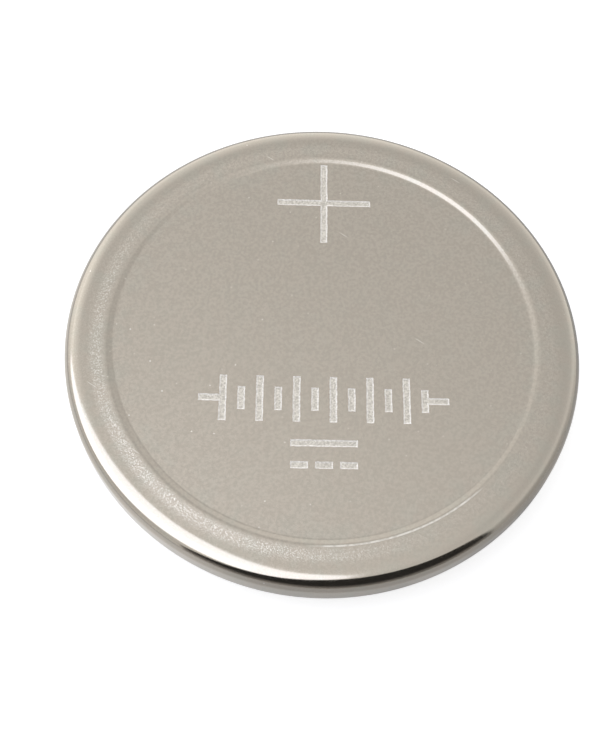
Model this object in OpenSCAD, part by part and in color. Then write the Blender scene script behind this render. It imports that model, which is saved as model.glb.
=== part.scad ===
// Lithium coin cell, 23 mm across and 3 mm high, lying on its negative cap.
// Seven pieces: the crimped can, its gasket, the cap and the four discs of the stack.
// Millimetres. Z runs up the cell's axis, from the negative contact face at z = 0.

/* [Cell] */
// Outside diameter of the cell
cell_d = 23; // [20:0.5:30]
// Height from the negative contact face to the positive rim
cell_h = 3; // [2.8:0.1:5.4]

/* [Positive can] */
// Sheet thickness of the can
can_t = 0.25; // [0.2:0.01:0.3]
// Outside radius of the corner between the positive face and the wall
can_corner_r = 0.45; // [0.35:0.05:0.6]
// Outside radius of the crimp, where the wall curls in over the gasket
crimp_r = 1.8; // [1.3:0.1:1.9]
// Width of the raised rim round the sunk panel
rim_w = 1.7; // [1.2:0.1:3]
// Width of the sloping step from the rim down to the panel
step_w = 0.45; // [0.4:0.05:0.8]
// Depth of the panel below the rim
panel_depth = 0.08; // [0.06:0.01:0.16]

/* [Gasket] */
// Thickness of the gasket between the can and the cap
gasket_t = 0.25; // [0.2:0.01:0.3]
// Thickness of the gasket's foot, between the cap's skirt and the can
foot_t = 0.35; // [0.2:0.05:0.4]
// Thickness of the gasket's inner leg, inside the skirt
leg_t = 0.3; // [0.2:0.05:0.4]
// Height of the inner leg's end above the start of the cap's shoulder
leg_rise = 0.05; // [0:0.01:0.3]

/* [Negative cap] */
// Sheet thickness of the cap
cap_t = 0.25; // [0.2:0.01:0.3]
// How far the contact face stands proud of the crimp
cap_proud = 0.15; // [0.1:0.01:0.25]
// How far the cap's wall stands inside the centre that the crimp curls round
cap_inset = 0.3; // [0.2:0.05:0.5]
// Width of the ring of gasket seen between the cap's wall and the crimp's lip
lip_gap = 0.5; // [0.3:0.05:0.9]
// Outside radius of the corner round the contact face
cap_corner_r = 0.35; // [0.32:0.01:0.38]
// Radius of the hollow bend between the cap's wall and its flange
cap_bend_r = 0.15; // [0.1:0.01:0.18]

/* [Stack] */
// Radial gap between the lithium disc and the cap
anode_gap = 0.1; // [0.05:0.05:0.5]
// Thickness of the separator
separator_t = 0.12; // [0.05:0.01:0.2]
// Height of the separator's turned up edge above its floor
separator_edge_h = 0.5; // [0.2:0.05:0.8]
// Radial gap between the separator and the start of the cap's shoulder
separator_gap = 0.05; // [0.02:0.01:0.1]
// Radial gap between the cathode pellet and the separator's edge
pellet_gap = 0.08; // [0.02:0.01:0.3]
// Chamfer on the pellet's two edges
pellet_chamfer = 0.1; // [0.05:0.05:0.3]
// Thickness of the current collector
collector_t = 0.1; // [0.05:0.01:0.15]
// Gap between the collector's edge and the foot of the panel's step
collector_gap = 0.25; // [0.1:0.05:1]
// Length of one diamond opening of the collector's mesh
mesh_long = 2.4; // [2.2:0.1:3]
// Width of one diamond opening
mesh_short = 1.2; // [1.1:0.05:1.6]
// Width of the mesh's strands
strand_w = 0.35; // [0.25:0.05:0.5]
// Width of the plain edge round the mesh
mesh_edge_w = 0.4; // [0.3:0.1:1.5]

/* [Hidden] */
$fn = 128;
arc_step = 5; // degrees between the points of the step's outline

cell_r = cell_d / 2;

// The can: its rim is the top of the cell and its panel is sunk below the rim.
// The step's two bends share a tangent, so the sheet keeps its thickness all the way.
rim_in_r = cell_r - rim_w;
panel_r = rim_in_r - step_w;
panel_z = cell_h - panel_depth;
can_in_r = cell_r - can_t;
can_in_z = cell_h - can_t;
corner = [cell_r - can_corner_r, cell_h - can_corner_r];
step_turn = 2 * atan(panel_depth / step_w);
step_bend_r = (pow(step_w, 2) + pow(panel_depth, 2)) / (4 * panel_depth) + can_t / 2;

// The crimp, the gasket and the cap's shoulder all curl round this one centre
curl = [cell_r - crimp_r, cap_proud + crimp_r];
crimp_turn = acos((lip_gap - cap_inset) / crimp_r);
gasket_out_r = crimp_r - can_t;
shoulder_out_r = gasket_out_r - gasket_t;
shoulder_in_r = shoulder_out_r - cap_t;

// The cap: a dish whose flange and skirt are clamped in the gasket
skirt_out_r = curl[0] + shoulder_out_r;
skirt_in_r = curl[0] + shoulder_in_r;
skirt_end_z = can_in_z - foot_t;
flange_z = curl[1] - shoulder_out_r;
dish_r = curl[0] - cap_inset;
bend = [dish_r + cap_bend_r, flange_z - cap_bend_r];
contact_r = dish_r - cap_corner_r;
leg_end_z = curl[1] + leg_rise;

// The stack, from the cap up: lithium level with the flange, separator, pellet, collector
anode_r = dish_r - cap_t - anode_gap;
separator_z = flange_z + cap_t;
separator_r = curl[0] - separator_gap;
pellet_r = separator_r - separator_t - pellet_gap;
pellet_z = separator_z + separator_t;
collector_z = panel_z - can_t - collector_t;
collector_r = panel_r - collector_gap;
mesh_r = collector_r - mesh_edge_w;

// Points of an arc round c, from angle a0 to a1
function arc(c, r, a0, a1) =
    let (n = ceil(abs(a1 - a0) / arc_step))
    [for (i = [0 : n]) let (a = a0 + (a1 - a0) * i / n) c + r * [cos(a), sin(a)]];

function reversed(points) = [for (i = [len(points) - 1 : -1 : 0]) points[i]];

// One side of the positive face, from the axis out to the corner. Both sides of the sheet turn
// round the same two centres, drop being 0 on the outside and the sheet's thickness on the inside.
function face_line(drop) =
    concat([[0, panel_z - drop]],
           arc([panel_r, panel_z - can_t + step_bend_r], step_bend_r - can_t + drop,
               -90, step_turn - 90),
           arc([rim_in_r, cell_h - step_bend_r], step_bend_r - drop, 90 + step_turn, 90),
           [[corner[0], cell_h - drop]]);

// A straight run of a section, between two opposite corners
module run(from, to) {
    polygon([from, [to[0], from[1]], to, [from[0], to[1]]]);
}

// A bent run of a section: sheet t thick, outside radius r about c, from angle a0 to a1
module bent(c, r, t, a0, a1) {
    mid = (a0 + a1) / 2;
    translate(c)
    intersection() {
        difference() {
            circle(r = r);
            if (t < r) circle(r = r - t);
        }
        polygon([[0, 0], 2 * r * [cos(a0), sin(a0)], 2 * r * [cos(mid), sin(mid)],
                 2 * r * [cos(a1), sin(a1)]]);
    }
}

// Deep drawn cup: sunk panel, raised rim, round corner, wall and crimped edge in one sheet
module positive_can() {
    color("#b8b0a4")
    rotate_extrude()
    union() {
        polygon(concat(face_line(can_t), reversed(face_line(0))));
        bent(corner, can_corner_r, can_t, 0, 90);
        run([can_in_r, curl[1]], [cell_r, corner[1]]);
        bent(curl, crimp_r, can_t, -crimp_turn, 0);
    }
}

// Moulded ring, bent round the cap's skirt by the crimp: foot, inner leg, wall, curl and lip
module gasket() {
    color("#d9d6cc")
    rotate_extrude()
    union() {
        run([skirt_in_r - leg_t, skirt_end_z], [corner[0], can_in_z]);
        run([skirt_in_r - leg_t, leg_end_z], [skirt_in_r, skirt_end_z]);
        run([skirt_out_r, curl[1]], [can_in_r, corner[1]]);
        bent(corner, can_corner_r - can_t, can_corner_r - can_t, 0, 90);
        bent(curl, gasket_out_r, gasket_t, -90, 0);
        run([dish_r, curl[1] - gasket_out_r], [curl[0], bend[1]]);
        run(bend, [curl[0], flange_z]);
        bent(bend, cap_bend_r, cap_bend_r, 90, 180);
    }
}

// Pressed cap: flat contact face, dish wall, flange, rounded shoulder and skirt in one sheet
module negative_cap() {
    color("#c2beb6")
    rotate_extrude()
    union() {
        run([0, 0], [contact_r, cap_t]);
        bent([contact_r, cap_corner_r], cap_corner_r, cap_t, -90, 0);
        run([dish_r - cap_t, cap_corner_r], [dish_r, bend[1]]);
        bent(bend, cap_bend_r + cap_t, cap_t, 90, 180);
        run([bend[0], flange_z], [curl[0], separator_z]);
        bent(curl, shoulder_out_r, cap_t, -90, 0);
        run([skirt_in_r, curl[1]], [skirt_out_r, skirt_end_z]);
    }
}

// Lithium foil disc, pressed into the cap's dish and level with its flange
module lithium_anode() {
    color("#cfd2d4")
    translate([0, 0, cap_t])
    cylinder(r = anode_r, h = separator_z - cap_t);
}

// Non-woven disc, its edge turned up round the pellet
module separator() {
    color("#f2f0ea")
    difference() {
        translate([0, 0, separator_z])
        cylinder(r = separator_r, h = separator_t + separator_edge_h);
        translate([0, 0, pellet_z])
        cylinder(r = separator_r - separator_t, h = 2 * separator_edge_h);
    }
}

// Pressed manganese dioxide tablet with chamfered edges
module cathode_pellet() {
    chamfer_r = pellet_r - pellet_chamfer;
    color("#2b2a2a")
    rotate_extrude()
    polygon([[0, pellet_z], [chamfer_r, pellet_z],
             [pellet_r, pellet_z + pellet_chamfer], [pellet_r, collector_z - pellet_chamfer],
             [chamfer_r, collector_z], [0, collector_z]]);
}

// One diamond opening of the mesh, at a place
module diamond(place) {
    long = mesh_long / 2;
    short = mesh_short / 2;
    translate(place)
    polygon([[long, 0], [0, short], [-long, 0], [0, -short]]);
}

// Expanded steel mesh with a plain edge, welded to the inside of the can's panel
module current_collector() {
    strand_turn = atan(mesh_short / mesh_long);
    pitch_x = mesh_long + strand_w / sin(strand_turn);
    pitch_y = mesh_short + strand_w / cos(strand_turn);
    columns = ceil(collector_r / pitch_x * 2);
    rows = ceil(collector_r / pitch_y * 2);
    color("#9a9a98")
    translate([0, 0, collector_z])
    linear_extrude(collector_t)
    difference() {
        circle(r = collector_r);
        for (i = [-columns : columns], j = [-rows : rows]) {
            place = [i * pitch_x / 2, j * pitch_y / 2];
            if ((i + j) % 2 == 0 && norm(place) + mesh_long / 2 < mesh_r) diamond(place);
        }
    }
}

positive_can();
gasket();
negative_cap();
lithium_anode();
separator();
cathode_pellet();
current_collector();
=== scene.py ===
"""Looks of the lithium coin cell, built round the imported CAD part, in the part's own frame.

The can, the gasket and the cap are turned again from their sections, finer than the CAD meshes,
and the positive face gets its stamped signs. The four inner discs keep their CAD solids.
Lengths are in millimetres and angles in degrees, unless a comment says otherwise.
"""

import math
import random

import bpy
from mathutils import Matrix, Vector
from mathutils.geometry import delaunay_2d_cdt

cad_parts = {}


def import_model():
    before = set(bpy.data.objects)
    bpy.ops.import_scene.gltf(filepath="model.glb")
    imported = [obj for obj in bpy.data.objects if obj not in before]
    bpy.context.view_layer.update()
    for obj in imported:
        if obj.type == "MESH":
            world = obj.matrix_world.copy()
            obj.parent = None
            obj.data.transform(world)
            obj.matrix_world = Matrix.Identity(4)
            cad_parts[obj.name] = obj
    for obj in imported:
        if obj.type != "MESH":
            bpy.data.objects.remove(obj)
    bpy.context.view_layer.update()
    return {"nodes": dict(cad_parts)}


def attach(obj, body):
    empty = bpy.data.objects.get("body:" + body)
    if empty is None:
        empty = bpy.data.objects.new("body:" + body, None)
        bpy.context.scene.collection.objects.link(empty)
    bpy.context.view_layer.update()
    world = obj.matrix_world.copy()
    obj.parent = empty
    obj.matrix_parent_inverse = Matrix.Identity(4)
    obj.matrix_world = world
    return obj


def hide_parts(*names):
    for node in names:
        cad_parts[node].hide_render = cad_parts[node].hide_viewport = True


MM = 0.001
SEGMENTS = 360
ARC_STEP = 4.0
# Points nearer to each other than this are one point
SAME = 1e-4

# Sizes of the sections. The step, the rim and the corner follow what the metal mirrors in the
# photo, a little closer than the part's source. All the others are the source's own.
CELL_R = 11.5
CELL_H = 3.0
SHEET = 0.25
RIM_IN_R = 9.73
STEP_W = 0.42
STEP_TURN = 16.5
PANEL_R = RIM_IN_R - STEP_W
PANEL_DEPTH = 0.08
PANEL_Z = CELL_H - PANEL_DEPTH
# The rim's inner edge is a low bead, which falls a little way out to the flat of the rim
BEAD_R = 8.0
BEAD_FOOT_R = 13.0
BEAD_TURN = 1.8
# The rim falls away on this radius through this angle before its corner turns tighter
CROWN_R = 2.2
CROWN_TURN = 9.0
CORNER_R = 0.575
# The crimp, the gasket and the cap's shoulder all bend round this centre
CURL = (9.7, 1.95)
CRIMP_R = 1.8
# How far outside that centre the crimp's edge ends, and the angle it has turned through by then
CRIMP_END = 0.2
CRIMP_TURN = math.degrees(math.acos(CRIMP_END / CRIMP_R))
GASKET_R = 1.55
SHOULDER_R = 1.3
# The cap's dish, the bend from its wall to its flange, and its skirt inside the gasket
DISH_R = 9.4
CAP_CORNER_R = 0.35
BEND = (9.55, 0.5)
BEND_R = 0.15
LIP_Z = 0.4
SKIRT_R = 11.0
SKIRT_IN_R = 10.75
SKIRT_END_Z = 2.4
LEG_R = 10.45
LEG_END_Z = 2.0

# Half the width of every stroke of the stamped signs
STROKE = 0.16

# The photographer's place, at a distance from the middle of the cell, and the camera's lens
CAMERA_AZIMUTH = -5.0
CAMERA_ELEVATION = 63.1
CAMERA_ROLL = -5.75
CAMERA_DISTANCE = 56.2
LENS = 59.25
SHIFT = (-0.0305, -0.0314)

# What the metal mirrors of the table: painted reflections, patches glowing only to mirror rays,
# each with its azimuth, the cosine where it starts, its level, and the radii between which it fades
PATCHES = ((206, 0.8, 0.2, 12.3, 16.0), (200, 0.45, 0.34, 16.0, 45.0),
           (266, 0.7, 0.2, 12.3, 15.0), (308, 0.93, 0.13, 12.3, 16.0),
           (345, 0.93, 0.3, 12.3, 16.0), (125, 0.2, 0.24, 15.0, 40.0))

# What the metal mirrors of the room: lobes, each with its azimuth and elevation, the cosines
# between which its level changes, and its two levels
LOBES = ((0, 90, -0.1, 0.95, 1.41, 0.97), (345, -5, 0.6, 1.0, 0, -0.74),
         (200, -10, 0.5, 0.95, 0, -0.42), (108, 16, 0.72, 1.0, 0, 0.32),
         (145, 32, 0.88, 1.0, 0, 0.28), (143, 48, 0.93, 1.0, 0, 0.38),
         (68, 59, 0.87, 1.0, 0, -0.12), (95, 76, 0.93, 1.0, 0, 0.22),
         (70, 32, 0.92, 1.0, 0, 0.1))

# Outlines of the two cards over the cell, as (elevation, azimuth)
DARK_CARD = [(1, 228), (20, 226), (30, 229), (40, 236), (50, 244), (60, 256), (66, 264),
             (71, 275), (74, 292), (74, 312), (70, 326), (60, 334), (50, 333), (40, 331),
             (30, 329), (20, 328), (1, 327), (1, 300), (1, 275), (1, 250)]
SOFTBOX = [(84.5, 0), (85, 50), (84.5, 103), (76, 111), (70.6, 123), (60.8, 142), (50, 150),
           (40, 153), (30, 155), (24, 162), (23, 172), (24, 182), (29, 195), (37, 211),
           (44, 226), (50, 240), (59, 256), (72, 270), (79, 302)]


# The sections, as points (r, z)

def arc(centre, radius, start, end):
    """Points of an arc. Its angles start from the r axis."""
    count = max(2, math.ceil(abs(end - start) / ARC_STEP))
    return [(centre[0] + radius * math.cos(a), centre[1] + radius * math.sin(a))
            for a in (math.radians(start + (end - start) * i / count) for i in range(count + 1))]


def rim_height():
    """Height of the rim outside its bead."""
    return CELL_H - (BEAD_R + BEAD_FOOT_R) * (1 - math.cos(math.radians(BEAD_TURN)))


def corner_centres():
    """Centres of the crown and of the corner that follows it down to the wall."""
    a = math.radians(CROWN_TURN)
    corner_r = CELL_R - CORNER_R
    crown = (corner_r - (CROWN_R - CORNER_R) * math.sin(a), rim_height() - CROWN_R)
    return crown, (corner_r, crown[1] + (CROWN_R - CORNER_R) * math.cos(a))


def can_side(drop):
    """One side of the can's sheet, from the panel's edge out and down to the crimp's lip.
    drop is 0 on the outside and the sheet's thickness on the inside."""
    # Between the step's two bends a straight flank fills the rest of its width and depth
    turn = math.radians(STEP_TURN)
    bends = (STEP_W * math.sin(turn) - PANEL_DEPTH * math.cos(turn)) / (1 - math.cos(turn))
    bend = (bends + SHEET) / 2
    points = arc((PANEL_R, PANEL_Z - SHEET + bend), bend - SHEET + drop, -90, STEP_TURN - 90)
    points += arc((RIM_IN_R, CELL_H - bend), bend - drop, 90 + STEP_TURN, 90)
    bead_turn = math.radians(BEAD_TURN)
    foot = (RIM_IN_R + (BEAD_R + BEAD_FOOT_R) * math.sin(bead_turn), rim_height() + BEAD_FOOT_R)
    points += arc((RIM_IN_R, CELL_H - BEAD_R), BEAD_R - drop, 90, 90 - BEAD_TURN)
    points += arc(foot, BEAD_FOOT_R + drop, -90 - BEAD_TURN, -90)
    crown, corner = corner_centres()
    points += arc(crown, CROWN_R - drop, 90, 90 - CROWN_TURN)
    points += arc(corner, CORNER_R - drop, 90 - CROWN_TURN, 0)
    points += arc(CURL, CRIMP_R - drop, 0, -CRIMP_TURN)
    return points


def gasket_section():
    """The gasket's whole section, once round."""
    corner = corner_centres()[1]
    outer = arc(corner, CORNER_R - SHEET, 90, 0) + arc(CURL, GASKET_R, 0, -90)
    lip = [(DISH_R, LIP_Z), (DISH_R, BEND[1])] + arc(BEND, BEND_R, 180, 90)
    inner = arc(CURL, SHOULDER_R, -90, 0)
    inner += [(SKIRT_R, SKIRT_END_Z), (SKIRT_IN_R, SKIRT_END_Z), (SKIRT_IN_R, LEG_END_Z)]
    leg = [(LEG_R, LEG_END_Z), (LEG_R, corner[1] + CORNER_R - SHEET)]
    return outer + lip + inner + leg


def cap_section():
    """The cap's section from the axis on its outside, round the skirt's end and back inside."""
    corner = (DISH_R - CAP_CORNER_R, CAP_CORNER_R)
    outer = [(0, 0)] + arc(corner, CAP_CORNER_R, -90, 0) + arc(BEND, BEND_R, 180, 90)
    outer += arc(CURL, SHOULDER_R, -90, 0) + [(SKIRT_R, SKIRT_END_Z)]
    inner = [(SKIRT_IN_R, SKIRT_END_Z)] + arc(CURL, SHOULDER_R - SHEET, 0, -90)
    inner += arc(BEND, BEND_R + SHEET, 90, 180) + arc(corner, CAP_CORNER_R - SHEET, 0, -90)
    return outer + inner + [(0, SHEET)]


def spread(points):
    """The points with each repeated one left out."""
    kept = []
    for p in points:
        if not kept or math.dist(p, kept[-1]) > SAME:
            kept.append(p)
    if math.dist(kept[0], kept[-1]) < SAME:
        kept.pop()
    return kept


def turned(section, closed=True):
    """Vertices, faces and rings of vertices of a section turned round the axis. A point on the
    axis becomes one vertex."""
    verts, faces, rings = [], [], []
    for r, z in section:
        count = 1 if r == 0 else SEGMENTS
        rings.append(range(len(verts), len(verts) + count))
        for i in range(count):
            a = 2 * math.pi * i / SEGMENTS
            verts.append((r * math.cos(a), r * math.sin(a), z))
    pairs = list(zip(rings, rings[1:] + rings[:1]))
    for low, high in pairs if closed else pairs[:-1]:
        if len(low) == 1 and len(high) == 1:
            continue
        for i in range(SEGMENTS):
            j = (i + 1) % SEGMENTS
            corners = [low[i % len(low)], low[j % len(low)],
                       high[j % len(high)], high[i % len(high)]]
            faces.append(list(dict.fromkeys(corners)))
    return verts, faces, rings


def placed(name, data):
    """A new object in the scene."""
    made = bpy.data.objects.new(name, data)
    bpy.context.scene.collection.objects.link(made)
    return made


def piece(name, verts, faces, materials, kinds=None, crease=20):
    """A smooth shaded object, riding on the cell. kinds gives each face the number of its material,
    and edges that turn more than crease are sharp."""
    mesh = bpy.data.meshes.new(name)
    mesh.from_pydata([Vector(v) * MM for v in verts], [], faces)
    mesh.polygons.foreach_set("use_smooth", [True] * len(faces))
    if kinds:
        mesh.polygons.foreach_set("material_index", kinds)
    mesh.set_sharp_from_angle(angle=math.radians(crease))
    for m in materials:
        mesh.materials.append(m)
    mesh.validate()
    made = placed(name, mesh)
    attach(made, "root")
    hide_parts(name.replace("_fine", ""))


# The stamped signs, as closed outlines on the positive face

def rectangle(x0, y0, x1, y1):
    """The outline between two opposite corners."""
    return [(x0, y0), (x1, y0), (x1, y1), (x0, y1)]


def plus_sign():
    """The pole's sign, near the far edge of the panel."""
    w, half, near, far, middle, aside = STROKE, 2.18, 4.93, 9.27, 7.11, -0.03
    outline = [(-w, near), (w, near), (w, middle - w), (half, middle - w), (half, middle + w),
               (w, middle + w), (w, far), (-w, far), (-w, middle + w), (-half, middle + w),
               (-half, middle - w), (-w, middle - w)]
    return [(x + aside, y) for x, y in outline]


def battery_sign():
    """The circuit sign of a battery: a lead, tall and short plates in turn, a lead."""
    w, middle, pitch, plates = STROKE, -3.04, 0.8, 12
    tall, short, lead = 1.08, 0.55, 0.9
    first = -(plates - 1) / 2 * pitch
    shapes = []
    for i in range(1, plates - 1):
        x, h = first + i * pitch, short if i % 2 else tall
        shapes.append(rectangle(x - w, middle - h, x + w, middle + h))
    x = first
    shapes.append([(x - w, middle - tall), (x + w, middle - tall), (x + w, middle + tall),
                   (x - w, middle + tall), (x - w, middle + w), (x - w - lead, middle + w),
                   (x - w - lead, middle - w), (x - w, middle - w)])
    x = -first
    shapes.append([(x - w, middle - short), (x + w, middle - short), (x + w, middle - w),
                   (x + w + lead, middle - w), (x + w + lead, middle + w), (x + w, middle + w),
                   (x + w, middle + short), (x - w, middle + short)])
    return shapes


def direct_current_sign():
    """The sign of direct current: a bar over three dashes."""
    w, half, gap, y_bar, y_dash = STROKE, 1.44, 0.3, -5.1, -6.1
    dash = (2 * half - 2 * gap) / 3
    shapes = [rectangle(-half, y_bar - w, half, y_bar + w)]
    for i in range(3):
        x = -half + i * (dash + gap)
        shapes.append(rectangle(x, y_dash - w, x + dash, y_dash + w))
    return shapes


def along(outline, spacing=0.12):
    """The outline with points every spacing, its corners kept."""
    points = []
    for a, b in zip(outline, outline[1:] + outline[:1]):
        count = max(1, round(math.dist(a, b) / spacing))
        points += [(a[0] + (b[0] - a[0]) * i / count, a[1] + (b[1] - a[1]) * i / count)
                   for i in range(count)]
    return points


def inset(outline, widths):
    """The outline moved inwards by a width at each of its points."""
    moved = []
    for i, p in enumerate(outline):
        before = Vector(p) - Vector(outline[i - 1])
        after = Vector(outline[(i + 1) % len(outline)]) - Vector(p)
        n0 = Vector((-before.y, before.x)).normalized()
        n1 = Vector((-after.y, after.x)).normalized()
        moved.append(Vector(p) + (n0 + n1) / (1 + n0.dot(n1)) * widths[i])
    return [tuple(p) for p in moved]


def inside(point, outline):
    """Whether a point lies within an outline."""
    x, y = point
    found = False
    for (x0, y0), (x1, y1) in zip(outline, outline[1:] + outline[:1]):
        if (y0 > y) != (y1 > y) and x < (x1 - x0) * (y - y0) / (y1 - y0) + x0:
            found = not found
    return found


def stamped_face(ring):
    """The panel inside its ring of points, with each sign sunk a little between sloping edges.
    Returns points, triangles and each triangle's kind: 0 steel, 1 sloping edge, 2 sunk floor."""
    draw = random.Random(7)
    edge_w, uneven, depth, wobble = 0.062, (0.75, 1.2), 0.02, 0.01
    signs = [along(s) for s in [plus_sign()] + battery_sign() + direct_current_sign()]
    outer = [[(x + draw.uniform(-wobble, wobble), y + draw.uniform(-wobble, wobble))
              for x, y in s] for s in signs]
    inner = [inset(s, [edge_w * draw.uniform(*uneven) for _ in s]) for s in outer]
    flat, edges = list(ring), [(i, (i + 1) % len(ring)) for i in range(len(ring))]
    for line in outer + inner:
        start = len(flat)
        flat += line
        edges += [(start + i, start + (i + 1) % len(line)) for i in range(len(line))]
    sunk = set(range(len(ring) + sum(map(len, outer)), len(flat)))
    whole, merge = 0, 1e-6
    coords, _, triangles, origins, _, _ = delaunay_2d_cdt(
        [Vector(p) for p in flat], edges, [], whole, merge)
    points = [(c.x, c.y, PANEL_Z - depth if sunk & set(o) else PANEL_Z)
              for c, o in zip(coords, origins)]
    kinds = []
    for t in triangles:
        middle = [sum(points[i][k] for i in t) / 3 for k in (0, 1)]
        kind = 0
        for a, b in zip(outer, inner):
            if inside(middle, a):
                kind = 2 if inside(middle, b) else 1
        kinds.append(kind)
    return points, [list(t) for t in triangles], kinds


def make_can(materials):
    """Deep drawn can: sunk panel with its signs, rim, corner, wall and crimp in one closed skin.
    Its materials are the steel's, the signs' sloping edges' and their sunk floors'."""
    skin = spread([(0, PANEL_Z - SHEET)] + can_side(SHEET) + can_side(0)[::-1])
    verts, faces, rings = turned(skin, closed=False)
    edge = list(rings[-1])
    points, triangles, kinds = stamped_face([verts[i][:2] for i in edge])
    index = {}
    for i, p in enumerate(points):
        if math.hypot(p[0], p[1]) > PANEL_R - SAME:
            near = round(math.atan2(p[1], p[0]) / (2 * math.pi) * SEGMENTS) % SEGMENTS
            index[i] = edge[near]
        else:
            index[i] = len(verts)
            verts.append(p)
    face_kinds = [0] * len(faces) + kinds
    faces = faces + [[index[i] for i in t] for t in triangles]
    piece("positive_can_fine", verts, faces, materials, face_kinds, crease=12)


def make_gasket(plastic):
    """Moulded ring between the can and the cap."""
    verts, faces, _ = turned(spread(gasket_section())[::-1])
    piece("gasket_fine", verts, faces, [plastic])


def make_cap(steel):
    """Pressed cap, the negative pole."""
    verts, faces, _ = turned(spread(cap_section()))
    piece("negative_cap_fine", verts, faces, [steel])


# Materials. Each is a Principled shader with its variation worked out from the object's own space.

class Nodes:
    """A node tree, emptied, with short ways to add to it."""

    def __init__(self, tree):
        self.tree = tree
        self.tree.nodes.clear()

    def add(self, kind, values=None, **settings):
        """A node with its settings made, and a value put into each of its named sockets."""
        made = self.tree.nodes.new(kind)
        for name, value in settings.items():
            setattr(made, name, value)
        for socket, value in (values or {}).items():
            self.put(made.inputs[socket], value)
        return made

    def put(self, socket, value):
        """Links the socket to another node's output, or sets it."""
        if isinstance(value, bpy.types.NodeSocket):
            self.tree.links.new(value, socket)
        else:
            socket.default_value = value

    def maths(self, operation, *values):
        """One operation on the values."""
        made = self.add("ShaderNodeMath", operation=operation)
        for socket, value in zip(made.inputs, values):
            self.put(socket, value)
        return made.outputs[0]

    def product(self, value, *others):
        """All the values multiplied together."""
        for other in others:
            value = self.maths("MULTIPLY", value, other)
        return value

    def most(self, value, *others):
        """The greatest of the values."""
        for other in others:
            value = self.maths("MAXIMUM", value, other)
        return value

    def between(self, value, low, high, to_low=0.0, to_high=1.0):
        """value from low to high, eased and mapped to another range."""
        made = self.add("ShaderNodeMapRange", interpolation_type="SMOOTHSTEP")
        for socket, v in zip(made.inputs, (value, low, high, to_low, to_high)):
            self.put(socket, v)
        return made.outputs[0]

    def band(self, value, rise, fall, beyond=0.0):
        """0, then 1 past the rise, then beyond past the fall. Both are ranges of the value."""
        return self.product(self.between(value, *rise), self.between(value, *fall, 1.0, beyond))

    def mix(self, factor, a, b):
        """Colour a where the factor is 0, b where it is 1."""
        made = self.add("ShaderNodeMix", {0: factor, 6: a, 7: b}, data_type="RGBA")
        return made.outputs[2]


class Material(Nodes):
    """A Principled material, with ways to measure and vary it in the object's own space."""

    def __init__(self, name):
        self.material = bpy.data.materials.new(name)
        self.material.use_nodes = True
        super().__init__(self.material.node_tree)
        self.shader = self.add("ShaderNodeBsdfPrincipled")
        self.output = self.add("ShaderNodeOutputMaterial", {0: self.shader.outputs[0]})
        place = self.add("ShaderNodeTexCoord").outputs["Object"]
        scale = self.add("ShaderNodeVectorMath", {0: place, "Scale": 1 / MM}, operation="SCALE")
        self.place = scale.outputs[0]

    def set(self, **values):
        """Puts values into the Principled shader, each named after its socket."""
        for name, value in values.items():
            self.put(self.shader.inputs[name.replace("_", " ")], value)

    def show(self, shader):
        """Takes another shader instead of the Principled one."""
        self.tree.nodes.remove(self.shader)
        self.put(self.output.inputs[0], shader.outputs[0])

    def noise(self, size, detail=2.0, stretch=(1, 1, 1)):
        """Noise with features about size across, longer along stretched axes."""
        mapped = self.add("ShaderNodeMapping", {
            "Vector": self.place, "Scale": [1 / (size * s) for s in stretch]})
        made = self.add("ShaderNodeTexNoise", {
            "Vector": mapped.outputs[0], "Scale": 1.0, "Detail": detail})
        return made.outputs[0]

    def cells(self, size):
        """Distance to the nearest of many scattered points, size apart."""
        made = self.add("ShaderNodeTexVoronoi", {"Vector": self.place, "Scale": 1 / size})
        return made.outputs["Distance"]

    def scratches(self, turn, length, width, apart):
        """1 on short straight scratches, scattered apart, that lie at the angle turn."""
        mapped = self.add("ShaderNodeMapping", {
            "Vector": self.place, "Rotation": (0, 0, math.radians(turn)),
            "Scale": (apart * length / width, apart, 1)}, vector_type="TEXTURE")
        made = self.add("ShaderNodeTexVoronoi", {"Vector": mapped.outputs[0], "Scale": 1.0},
                        voronoi_dimensions="2D")
        edge = width / 2 / apart
        return self.between(made.outputs["Distance"], edge * 0.5, edge, 1.0, 0.0)

    def bump(self, height, depth, normal=None):
        """A bump of this depth over height's range from 0 to 1, on top of another normal."""
        values = {"Height": height, "Strength": 1.0, "Distance": depth * MM}
        if normal:
            values["Normal"] = normal
        return self.add("ShaderNodeBump", values).outputs[0]

    def radius(self):
        """Distance from the cell's axis."""
        flat = self.add("ShaderNodeVectorMath", {0: self.place, 1: (1, 1, 0)},
                        operation="MULTIPLY")
        made = self.add("ShaderNodeVectorMath", {0: flat.outputs[0]}, operation="LENGTH")
        return made.outputs["Value"]

    def reach(self, azimuth):
        """How far a place lies towards an azimuth."""
        made = self.add("ShaderNodeVectorMath", {0: self.place, 1: direction(azimuth, 0)},
                        operation="DOT_PRODUCT")
        return made.outputs["Value"]

    def height(self):
        """Height above the cell's foot."""
        return self.add("ShaderNodeSeparateXYZ", {0: self.place}).outputs[2]


def tone(r, g, b):
    """An opaque colour."""
    return (r, g, b, 1.0)


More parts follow.
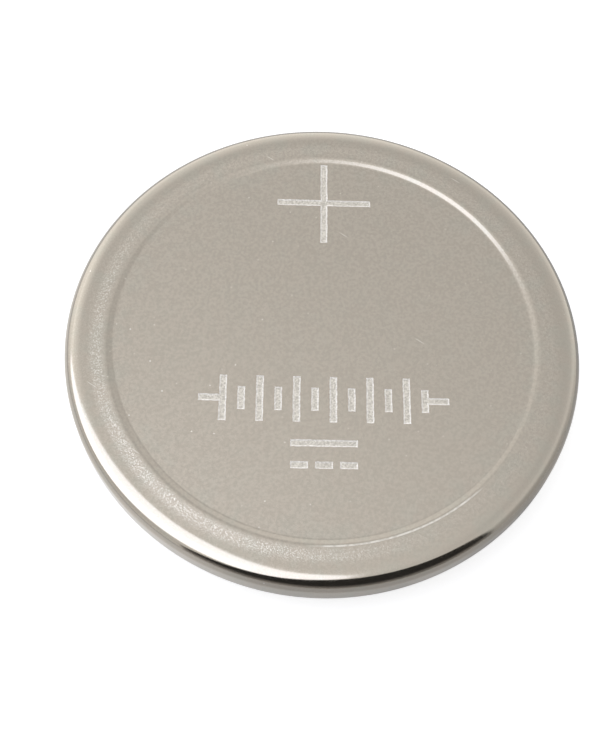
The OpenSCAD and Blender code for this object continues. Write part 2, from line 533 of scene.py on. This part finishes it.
def can_steel():
    """Nickel plated steel: finely grained on the face, frosted on the rim, polished round it."""
    n = Material("can_steel")
    r = n.radius()
    fine = n.noise(0.135, detail=1)
    clouds = n.product(n.between(n.noise(0.8, detail=3), 0.42, 0.66),
                       n.between(r, 8.0, 9.6, 0.3, 1.0))
    grain = n.maths("MULTIPLY_ADD", n.between(fine, 0.35, 0.65, -0.5, 0.5),
                    n.between(r, 10.4, 10.8, 1.0, 0.4), 0.5)
    base = n.mix(clouds, tone(0.553, 0.5, 0.428), tone(0.537, 0.503, 0.433))
    base = n.mix(grain, n.mix(0.2, base, tone(0.47, 0.43, 0.37)),
                 n.mix(0.2, base, tone(0.64, 0.59, 0.51)))
    # Painted glints and a painted highlight, over real scratches: near white where the lamp would
    # catch the face
    base = n.mix(scratches_and_painted_glints(n, r), base, tone(0.97, 0.93, 0.86))
    # Satin on the face, smoother on the step and smoothest round the corner
    satin = n.maths("SUBTRACT", n.between(r, 10.2, 10.6, 1.0, 0.0),
                    n.product(n.band(r, (9.3, 9.42), (9.6, 9.75)), 0.5))
    rough = n.maths("MULTIPLY_ADD", satin, 0.11, n.between(fine, 0.2, 0.8, 0.09, 0.13))
    pits = n.product(n.maths("SUBTRACT", n.noise(0.05), 0.5), n.between(r, 9.1, 9.4, 1.0, 0.0))
    frost = n.product(n.maths("SUBTRACT", n.noise(0.05, detail=0), 0.5),
                      n.band(r, (9.6, 9.9), (10.2, 10.6)))
    normal = n.bump(frost, 0.003, n.bump(pits, 0.0005))
    n.set(Base_Color=base, Metallic=1.0, Roughness=rough, Normal=normal)
    return n.material


def scratches_and_painted_glints(n, r):
    """Where the can's face is painted near white: painted glints on grains, thickest inside the rim
    on the near left where the lamp falls, specks painted brighter towards the lamp, real scratches,
    and a painted highlight along the near side of the step."""
    # Painted glints: bright grains, stronger towards the near left, where the lamp's light falls
    painted_glint_grains = n.product(n.between(n.noise(0.048, detail=0), 0.55, 0.69),
                       n.between(n.reach(215), 1.0, 9.0, 0.1, 0.48),
                       n.band(r, (9.7, 9.95), (10.1, 10.5), 0.2))
    # Real specks, painted brighter towards the lamp on the left as glints
    specks_and_glints = n.product(n.between(n.cells(0.55), 0.03, 0.08, 0.9, 0.0),
                       n.between(n.noise(0.6), 0.4, 0.6),
                       n.between(n.reach(190), -4.0, 7.0, 0.35, 1.0))
    scratches = n.product(n.scratches(-34, 0.6, 0.05, 2.0), 0.45)
    # Painted highlight: a thin bright line on the step's outer bend, only on the near side
    painted_bend_highlight = n.product(n.between(n.reach(290), 8.8, 9.2),
                     n.between(n.noise(0.3), 0.35, 0.6, 0.45, 0.9),
                     n.band(r, (9.62, 9.65), (9.7, 9.73)))
    return n.most(painted_glint_grains, specks_and_glints, scratches, painted_bend_highlight)


def sign_edge():
    """The frosted slope round a stamped sign, its pale colour a painted highlight from every side.
    """
    n = Material("sign_edge")
    grain = n.noise(0.06)
    # Pale frosted colour: a painted highlight of the light the slope catches
    base = n.mix(n.between(grain, 0.3, 0.7), tone(0.66, 0.62, 0.56), tone(0.95, 0.91, 0.84))
    n.set(Base_Color=base, Metallic=0.0, Roughness=0.55, Normal=n.bump(grain, 0.01))
    return n.material


def sign_floor():
    """The stippled floor of a stamped sign."""
    n = Material("sign_floor")
    grain = n.noise(0.07)
    base = n.mix(n.between(grain, 0.3, 0.7), tone(0.5, 0.465, 0.4), tone(0.78, 0.735, 0.65))
    n.set(Base_Color=base, Metallic=0.5, Roughness=0.45, Normal=n.bump(grain, 0.008))
    return n.material


def cap_steel():
    """Satin steel with a faint turned grain."""
    n = Material("cap_steel")
    clouds = n.noise(2.5, detail=3)
    base = n.mix(n.between(clouds, 0.35, 0.65), tone(0.5, 0.475, 0.43), tone(0.54, 0.515, 0.47))
    rings = n.add("ShaderNodeTexNoise", {"W": n.product(n.radius(), 14.0), "Scale": 1.0,
                                         "Detail": 2.0}, noise_dimensions="1D").outputs[0]
    fine = n.noise(0.09, detail=1)
    n.set(Base_Color=base, Metallic=1.0, Roughness=n.between(fine, 0.2, 0.8, 0.22, 0.32),
          Normal=n.bump(rings, 0.0006, n.bump(fine, 0.003)))
    return n.material


def gasket_plastic():
    """Natural polypropylene, a little cloudy, with some light passing under its surface."""
    n = Material("gasket_plastic")
    clouds = n.noise(0.8, detail=3)
    base = n.mix(n.between(clouds, 0.3, 0.7), tone(0.6, 0.59, 0.55), tone(0.7, 0.69, 0.64))
    n.set(Base_Color=base, Metallic=0.0, Roughness=n.between(clouds, 0.2, 0.8, 0.38, 0.5),
          IOR=1.49, Subsurface_Weight=0.25, Subsurface_Scale=0.4 * MM,
          Normal=n.bump(n.noise(0.15), 0.004))
    return n.material


def lithium_foil():
    """Soft rolled foil, dulled in patches."""
    n = Material("lithium_foil")
    dull = n.noise(1.5, detail=4)
    base = n.mix(n.between(dull, 0.4, 0.7), tone(0.62, 0.63, 0.65), tone(0.45, 0.45, 0.47))
    n.set(Base_Color=base, Metallic=1.0, Roughness=n.between(dull, 0.3, 0.7, 0.3, 0.5),
          Normal=n.bump(n.noise(0.08, stretch=(20, 1, 1)), 0.003))
    return n.material


def separator_felt():
    """White felt of fine crossing fibres."""
    n = Material("separator_felt")
    fibres = n.most(n.noise(0.05, stretch=(12, 1, 1)), n.noise(0.05, stretch=(1, 12, 1)))
    base = n.mix(n.between(fibres, 0.4, 0.7), tone(0.72, 0.71, 0.68), tone(0.9, 0.89, 0.86))
    n.set(Base_Color=base, Metallic=0.0, Roughness=0.9, Normal=n.bump(fibres, 0.02))
    return n.material


def cathode_powder():
    """Pressed black powder, pitted between its grains."""
    n = Material("cathode_powder")
    grain = n.cells(0.12)
    base = n.mix(n.between(grain, 0.0, 0.8), tone(0.02, 0.019, 0.019), tone(0.05, 0.048, 0.046))
    n.set(Base_Color=base, Metallic=0.0, Roughness=n.between(grain, 0.0, 0.8, 0.7, 0.9),
          Normal=n.bump(grain, 0.015))
    return n.material


def collector_mesh():
    """Bare drawn steel of the mesh."""
    n = Material("collector_mesh")
    fine = n.noise(0.06, stretch=(8, 1, 1))
    base = n.mix(n.between(fine, 0.3, 0.7), tone(0.38, 0.38, 0.37), tone(0.48, 0.48, 0.47))
    n.set(Base_Color=base, Metallic=1.0, Roughness=n.between(fine, 0.2, 0.8, 0.25, 0.4),
          Normal=n.bump(fine, 0.004))
    return n.material


# The studio

def direction(azimuth, elevation):
    """Unit vector. The azimuth is counterclockwise from +X, the elevation is above the floor."""
    a, e = math.radians(azimuth), math.radians(elevation)
    return Vector((math.cos(e) * math.cos(a), math.cos(e) * math.sin(a), math.sin(e)))


def make_camera():
    """The camera at the photographer's place, looking at the middle of the cell."""
    data = bpy.data.cameras.new("camera")
    data.lens = LENS
    data.shift_x, data.shift_y = SHIFT
    data.clip_start, data.clip_end = 0.001, 10.0  # metres
    camera = placed("camera", data)
    back = direction(CAMERA_AZIMUTH - 90, CAMERA_ELEVATION)
    right = direction(CAMERA_AZIMUTH, 0)
    up = back.cross(right)
    roll = math.radians(CAMERA_ROLL)
    turned_right = right * math.cos(roll) - up * math.sin(roll)
    turned_up = right * math.sin(roll) + up * math.cos(roll)
    place = Vector((0, 0, CELL_H / 2)) * MM + back * CAMERA_DISTANCE * MM
    axes = Matrix((turned_right, turned_up, back)).transposed().to_4x4()
    camera.matrix_world = Matrix.Translation(place) @ axes
    bpy.context.scene.camera = camera


def make_world():
    """A pale room, brighter low down, most of all at the back. The camera sees it plain white."""
    world = bpy.data.worlds.new("room")
    bpy.context.scene.world = world
    world.use_nodes = True
    n = Nodes(world.node_tree)
    ray = n.add("ShaderNodeTexCoord").outputs["Generated"]
    level = 0.0
    for azimuth, elevation, low, high, to_low, to_high in LOBES:
        turn = n.add("ShaderNodeVectorMath", {0: ray, 1: direction(azimuth, elevation)},
                     operation="DOT_PRODUCT").outputs["Value"]
        level = n.maths("ADD", level, n.between(turn, low, high, to_low, to_high))
    room = n.add("ShaderNodeBackground", {"Color": tone(0.8, 0.8, 0.8), "Strength": level})
    white = n.add("ShaderNodeBackground", {"Color": tone(1, 1, 1)})
    seen = n.add("ShaderNodeMixShader", {
        0: n.add("ShaderNodeLightPath").outputs["Is Camera Ray"],
        1: room.outputs[0], 2: white.outputs[0]})
    n.add("ShaderNodeOutputWorld", {0: seen.outputs[0]})


def make_floor():
    """White table. It takes the cell's shadow and glows so that it reads as white. From below, and
    under the cell's cap, it is clear."""
    half, z = 3000.0, -0.01
    mesh = bpy.data.meshes.new("floor")
    corners = rectangle(-half, -half, half, half)
    mesh.from_pydata([(x * MM, y * MM, z * MM) for x, y in corners], [], [(0, 1, 2, 3)])
    mesh.materials.append(floor_white())
    floor = placed("floor", mesh)


def floor_white():
    """Matt white that glows to the camera. What the metal mirrors of it are painted reflections,
    patches that glow only to mirror rays, and a painted shade ring beyond the cell's far side."""
    n = Material("floor_white")
    r = n.radius()
    paths = n.add("ShaderNodeLightPath").outputs
    mirrored = n.most(paths["Is Glossy Ray"], paths["Is Transmission Ray"])
    glow = n.product(paths["Is Camera Ray"], 0.75)
    # Painted reflections: glowing patches that only mirror rays see
    for azimuth, low, level, near, far in PATCHES:
        side = n.between(n.maths("DIVIDE", n.reach(azimuth), r), low, 1.0, 0.0, level)
        patch = n.product(side, n.between(r, near, far, 1.0, 0.0))
        glow = n.maths("MULTIPLY_ADD", patch, mirrored, glow)
    back = n.maths("DIVIDE", n.reach(85), r)
    right = n.maths("DIVIDE", n.reach(12), r)
    # The painted shade ring is widest at the back right
    wider = n.maths("ADD", n.product(n.most(back, 0.0), 1.4),
                    n.product(n.most(n.maths("SUBTRACT", right, 0.5), 0.0), 2.6))
    # Painted shade: to mirror rays the floor is darker in a ring beyond the cell's far side
    painted_ring_shade = n.product(n.between(back, -0.35, 0.1), mirrored,
                    n.between(n.maths("SUBTRACT", r, wider), 11.8, 12.5, 1.0, 0.0))
    diffuse = n.add("ShaderNodeBsdfDiffuse", {
        "Color": n.mix(painted_ring_shade, tone(0.52, 0.52, 0.52), tone(0.12, 0.12, 0.12))})
    light = n.add("ShaderNodeEmission", {"Color": tone(1, 1, 1), "Strength": glow})
    both = n.add("ShaderNodeAddShader", {0: diffuse.outputs[0], 1: light.outputs[0]})
    clear = n.add("ShaderNodeBsdfTransparent")
    hidden = n.most(n.add("ShaderNodeNewGeometry").outputs["Backfacing"],
                    n.maths("LESS_THAN", r, DISH_R))
    n.show(n.add("ShaderNodeMixShader", {0: hidden, 1: both.outputs[0], 2: clear.outputs[0]}))
    return n.material


def overhead_card(name, outline, material, middle, distance):
    """A curved card over the cell that only the metal and the light see. Its outline and middle
    are (elevation, azimuth), and its distance is in metres."""
    def spot(elevation, azimuth):
        """The place on a flat map of the sky, with the point overhead in its middle."""
        a = math.radians(azimuth)
        return Vector((math.cos(a), math.sin(a))) * (90 - elevation)

    rings, verts = 8, [direction(middle[1], middle[0]) * distance]
    centre = spot(*middle)
    for k in range(1, rings + 1):
        for e, a in outline:
            p = centre.lerp(spot(e, a), k / rings)
            azimuth = math.degrees(math.atan2(p.y, p.x))
            verts.append(direction(azimuth, 90 - p.length) * distance)
    n = len(outline)
    faces = [(0, 1 + i, 1 + (i + 1) % n) for i in range(n)]
    for k in range(rings - 1):
        for i in range(n):
            j = (i + 1) % n
            faces.append((1 + k * n + i, 1 + k * n + n + i, 1 + k * n + n + j, 1 + k * n + j))
    mesh = bpy.data.meshes.new(name)
    mesh.from_pydata(verts, [], faces)
    mesh.materials.append(material)
    card = placed(name, mesh)
    card.visible_camera = False


def dark_cloth():
    """Cloth that is paler towards the floor."""
    n = Material("dark_cloth")
    rise = n.between(n.height(), 20.0, 170.0)
    n.set(Base_Color=n.mix(rise, tone(0.4, 0.38, 0.36), tone(0.04, 0.038, 0.035)), Roughness=0.9)
    return n.material


def lamp_cloth():
    """The glowing front of the softbox."""
    n = Material("lamp_cloth")
    n.show(n.add("ShaderNodeEmission", {"Color": tone(0.97, 1.0, 1.1), "Strength": 1.95}))
    return n.material


def make_window_lamp():
    """A soft rectangular lamp on the left, facing the cell. Its long edge is as long as the lamp
    is far, in metres, and leans from the level. Its width, and how far its middle is moved aside
    and above, are shares of that length. A brightness of 1 is white."""
    azimuth, elevation, lean = 185, 52, 62
    distance, width, aside, above, brightness = 0.34, 0.6, 0.034, 0.05, 0.4
    towards = direction(azimuth, elevation)
    level_edge = direction(azimuth + 90, 0)
    rising_edge = towards.cross(level_edge)
    middle = (towards + level_edge * aside + rising_edge * above) * distance
    data = bpy.data.lights.new("window", "AREA")
    data.shape = "RECTANGLE"
    data.size, data.size_y = distance, width * distance
    data.energy = brightness * math.pi * data.size * data.size_y
    lamp = placed("window", data)
    a = math.radians(lean)
    long_edge = level_edge * math.cos(a) + rising_edge * math.sin(a)
    axes = Matrix((long_edge, towards.cross(long_edge), towards)).transposed().to_4x4()
    lamp.matrix_world = Matrix.Translation(middle) @ axes
    lamp.visible_camera = False


def main():
    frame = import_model()
    make_camera()
    make_world()
    make_floor()
    # The dark shape in front, which the rim's near side mirrors, and the big soft lamp on the left
    overhead_card("dark_card", DARK_CARD, dark_cloth(), middle=(40, 280), distance=0.36)
    overhead_card("softbox", SOFTBOX, lamp_cloth(), middle=(60, 178), distance=0.4)
    make_window_lamp()
    make_can([can_steel(), sign_edge(), sign_floor()])
    make_gasket(gasket_plastic())
    make_cap(cap_steel())
    inner = {"lithium_anode": lithium_foil, "separator": separator_felt,
             "cathode_pellet": cathode_powder, "current_collector": collector_mesh}
    for node, material in inner.items():
        mesh = frame["nodes"][node].data
        mesh.materials.clear()
        mesh.materials.append(material())
    bpy.context.scene.view_settings.view_transform = "Standard"


main()
